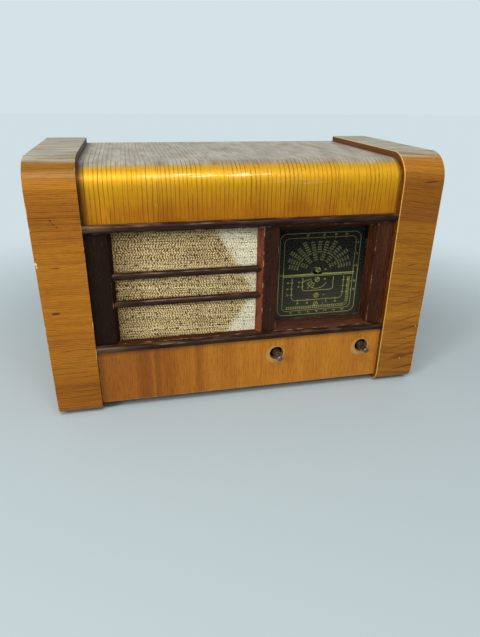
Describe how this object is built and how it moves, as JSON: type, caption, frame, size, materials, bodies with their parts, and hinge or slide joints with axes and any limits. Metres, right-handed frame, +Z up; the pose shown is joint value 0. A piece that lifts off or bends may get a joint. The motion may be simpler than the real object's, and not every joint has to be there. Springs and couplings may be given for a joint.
{
  "type": "table radio receiver",
  "caption": "Table-top valve radio receiver: wooden cabinet with end cheeks, cloth loudspeaker grille, glass dial, bare concentric spindles and a full chassis inside.",
  "frame": {"origin": "middle of the cabinet's footprint, on the surface that its feet stand on", "axes": "+X to the radio's right seen from the front, the front faces -Y, +Z up"},
  "size_m": [0.4, 0.204, 0.26],
  "materials": {
    "walnut_veneer": "satin",
    "figured_veneer": "gloss",
    "mahogany": "satin",
    "plywood": "matt",
    "felt": "matt",
    "speaker_cloth": "woven",
    "dial_glass": "gloss",
    "clear_glass": "gloss",
    "black_enamel": "matt",
    "pointer_paint": "matt",
    "plated_steel": "satin",
    "chassis_plate": "dull",
    "basket_paint": "satin",
    "cone_paper": "matt",
    "magnet_iron": "matt",
    "core_iron": "dull",
    "winding_wrap": "waxed",
    "bare_aluminium": "satin",
    "rotor_metal": "satin",
    "drive_cord": "braided",
    "spindle_steel": "dull",
    "brass": "dull",
    "insulating_board": "waxed",
    "control_can": "satin",
    "brown_moulding": "gloss",
    "black_moulding": "gloss",
    "grommet_rubber": "matt",
    "hardboard": "matt"
  },
  "bodies": {
    "cabinet": {"left_cheek": "walnut_veneer", "right_cheek": "walnut_veneer", "top_shell": "figured_veneer", "lower_fascia": "figured_veneer", "base_board": "plywood", "cover_cleats": "plywood", "front_cleat": "plywood", "felt_feet": "felt", "upper_nosing": "mahogany", "lower_nosing": "mahogany", "left_post": "mahogany", "centre_divider": "mahogany", "right_post": "mahogany", "top_rail": "mahogany", "bottom_rail": "mahogany", "upper_grille_bar": "mahogany", "lower_grille_bar": "mahogany", "speaker_cloth": "speaker_cloth", "speaker_board": "plywood", "dial_glass": "dial_glass", "glass_clips": "plated_steel", "dial_tray": "black_enamel", "dial_lamps": "clear_glass", "speaker_basket": "basket_paint", "cone_surround": "cone_paper", "speaker_magnet": "magnet_iron", "speaker_bolts": "plated_steel", "output_transformer": "core_iron", "chassis": "chassis_plate", "chassis_bolts": "plated_steel", "mains_transformer": "core_iron", "transformer_windings": "winding_wrap", "gang_bracket": "chassis_plate", "gang_frame": "bare_aluminium", "gang_stator": "bare_aluminium", "drive_cord": "drive_cord", "tuning_bush": "brass", "wave_switch": "insulating_board", "tone_volume_control": "control_can", "valve_sockets": "brown_moulding", "valve_bases": "black_moulding", "valve_bulbs": "clear_glass", "valve_caps": "plated_steel", "screening_cans": "bare_aluminium", "smoothing_capacitor": "bare_aluminium", "aerial_coil": "insulating_board", "component_board": "insulating_board", "rear_socket_strip": "insulating_board", "voltage_selector": "black_moulding", "mains_grommet": "grommet_rubber"},
    "tuning_rotor": {"gang_rotor": "rotor_metal", "drive_drum": "bare_aluminium", "dial_pointer": "pointer_paint"},
    "tuning_shaft": {"tuning_sleeve": "spindle_steel"},
    "wave_shaft": {"wave_spindle": "spindle_steel"},
    "volume_shaft": {"volume_spindle": "spindle_steel"},
    "tone_shaft": {"tone_sleeve": "spindle_steel"},
    "cone": {"speaker_cone": "cone_paper"},
    "rear_cover": {"back_cover": "hardboard", "cover_screws": "plated_steel"}
  },
  "joints": [
    {"name": "tuning_turn", "type": "hinge", "parent": "cabinet", "child": "tuning_rotor", "pos_m": [0.0816, -0.045, 0.1344], "axis": [0, 1, 0], "range_deg": [0, 180]},
    {"name": "tuning_knob_turn", "type": "hinge", "parent": "cabinet", "child": "tuning_shaft", "pos_m": [0.134, -0.045, 0.051], "axis": [0, 1, 0], "range_deg": [0, 1640]},
    {"name": "wave_change_turn", "type": "hinge", "parent": "cabinet", "child": "wave_shaft", "pos_m": [0.134, -0.045, 0.051], "axis": [0, 1, 0], "range_deg": [0, 90]},
    {"name": "volume_turn", "type": "hinge", "parent": "cabinet", "child": "volume_shaft", "pos_m": [0.034, -0.045, 0.051], "axis": [0, 1, 0], "range_deg": [0, 300]},
    {"name": "tone_turn", "type": "hinge", "parent": "cabinet", "child": "tone_shaft", "pos_m": [0.034, -0.045, 0.051], "axis": [0, 1, 0], "range_deg": [0, 280]},
    {"name": "cone_travel", "type": "slide", "parent": "cabinet", "child": "cone", "axis": [0, 1, 0], "range_m": [-0.0015, 0.0015], "stiffness_N_per_m": 3000},
    {"name": "cover_off", "type": "slide", "parent": "cabinet", "child": "rear_cover", "axis": [0, 1, 0], "range_m": [0, 0.12]}
  ],
  "couplings": [
    {"joint": "tuning_knob_turn", "follows": "tuning_turn", "ratio": 9.0323}
  ]
}
